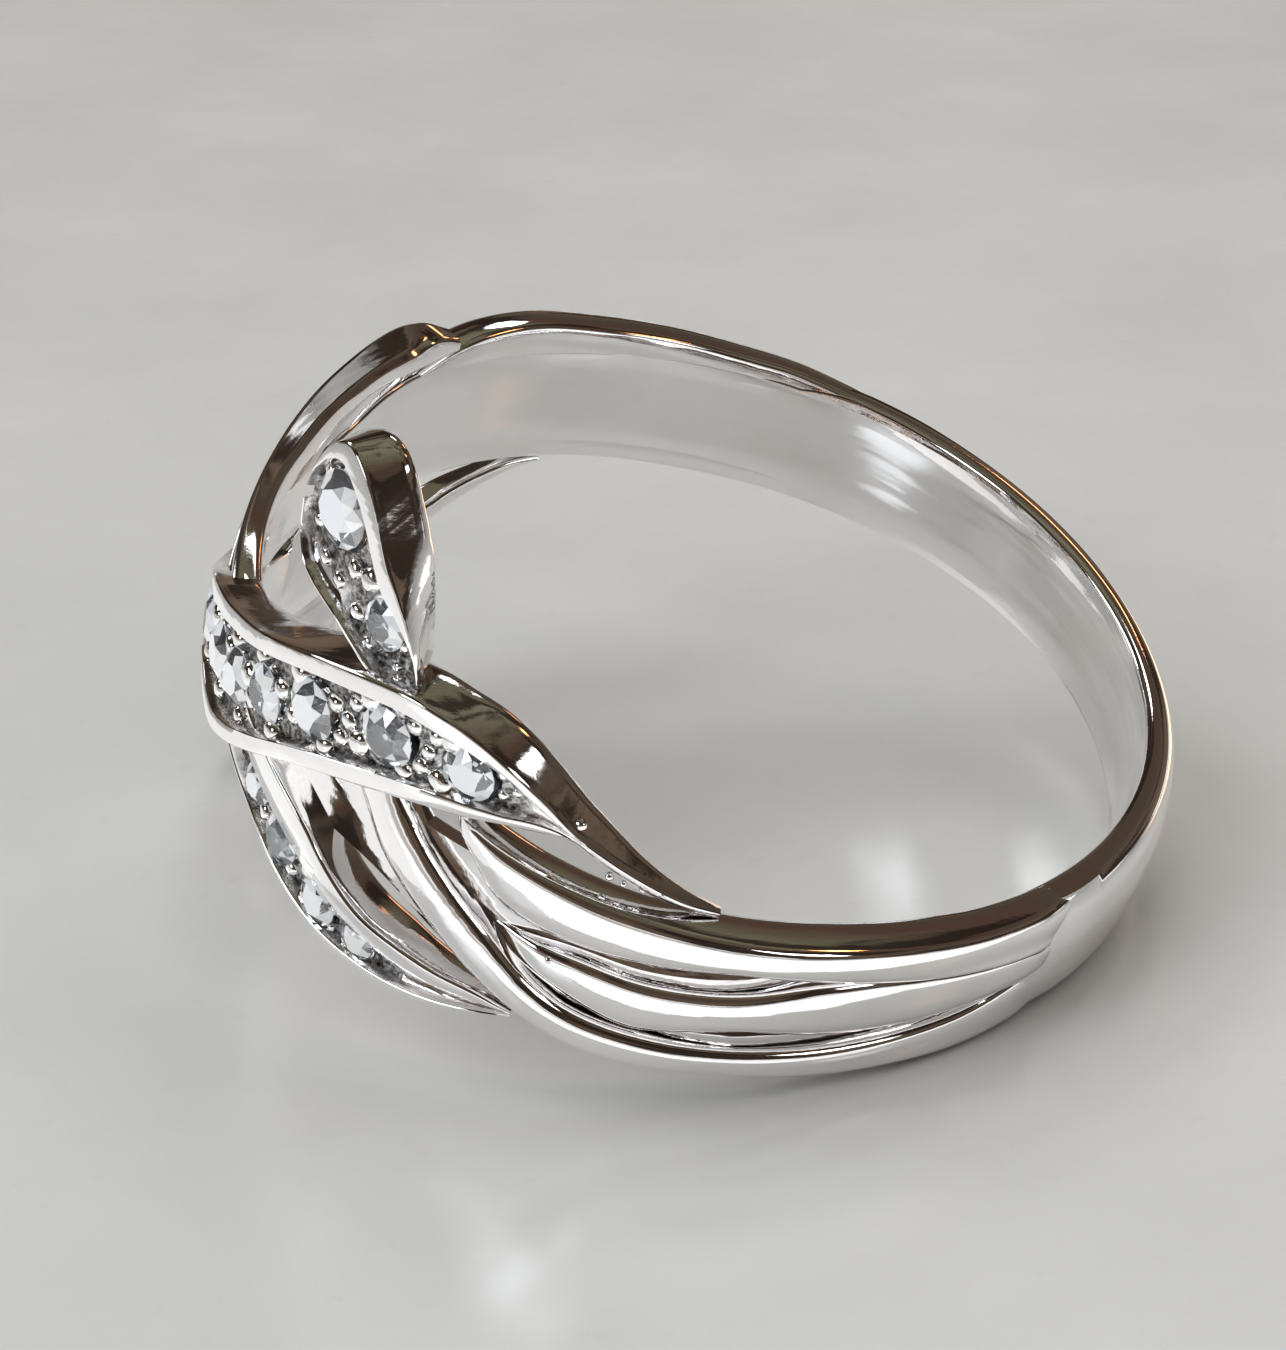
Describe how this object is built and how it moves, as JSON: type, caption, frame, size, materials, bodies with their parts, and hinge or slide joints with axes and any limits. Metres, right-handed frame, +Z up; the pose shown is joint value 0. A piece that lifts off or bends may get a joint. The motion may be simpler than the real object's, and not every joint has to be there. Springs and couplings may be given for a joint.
{
  "type": "moissanite ring",
  "caption": "Crossover finger ring in polished white metal: two grain-set ribbons cross at the head beside rounded petals, on a grooved shank.",
  "frame": {"origin": "on the floor, at the middle of the ring's footprint as it lies on its side", "axes": "+Z up from the floor; -X towards the head with the crossing ribbons, -Y towards the side the picture shows"},
  "size_m": [0.0189, 0.0192, 0.0123],
  "materials": {
    "white_metal": "mirror polish",
    "moissanite": "cut and polished"
  },
  "bodies": {
    "root": {"ring_metal": "white_metal", "over_stone_1": "moissanite", "over_stone_2": "moissanite", "over_stone_3": "moissanite", "over_stone_4": "moissanite", "over_stone_5": "moissanite", "over_stone_6": "moissanite", "over_stone_7": "moissanite", "over_stone_8": "moissanite", "over_stone_9": "moissanite", "over_stone_10": "moissanite", "over_stone_11": "moissanite", "over_stone_12": "moissanite", "under_stone_1": "moissanite", "under_stone_2": "moissanite", "under_stone_3": "moissanite", "under_stone_4": "moissanite", "under_stone_5": "moissanite", "under_stone_6": "moissanite", "under_stone_7": "moissanite", "under_stone_8": "moissanite", "petal_stone_1": "moissanite", "petal_stone_2": "moissanite", "petal_stone_3": "moissanite", "petal_stone_4": "moissanite"}
  },
  "joints": []
}
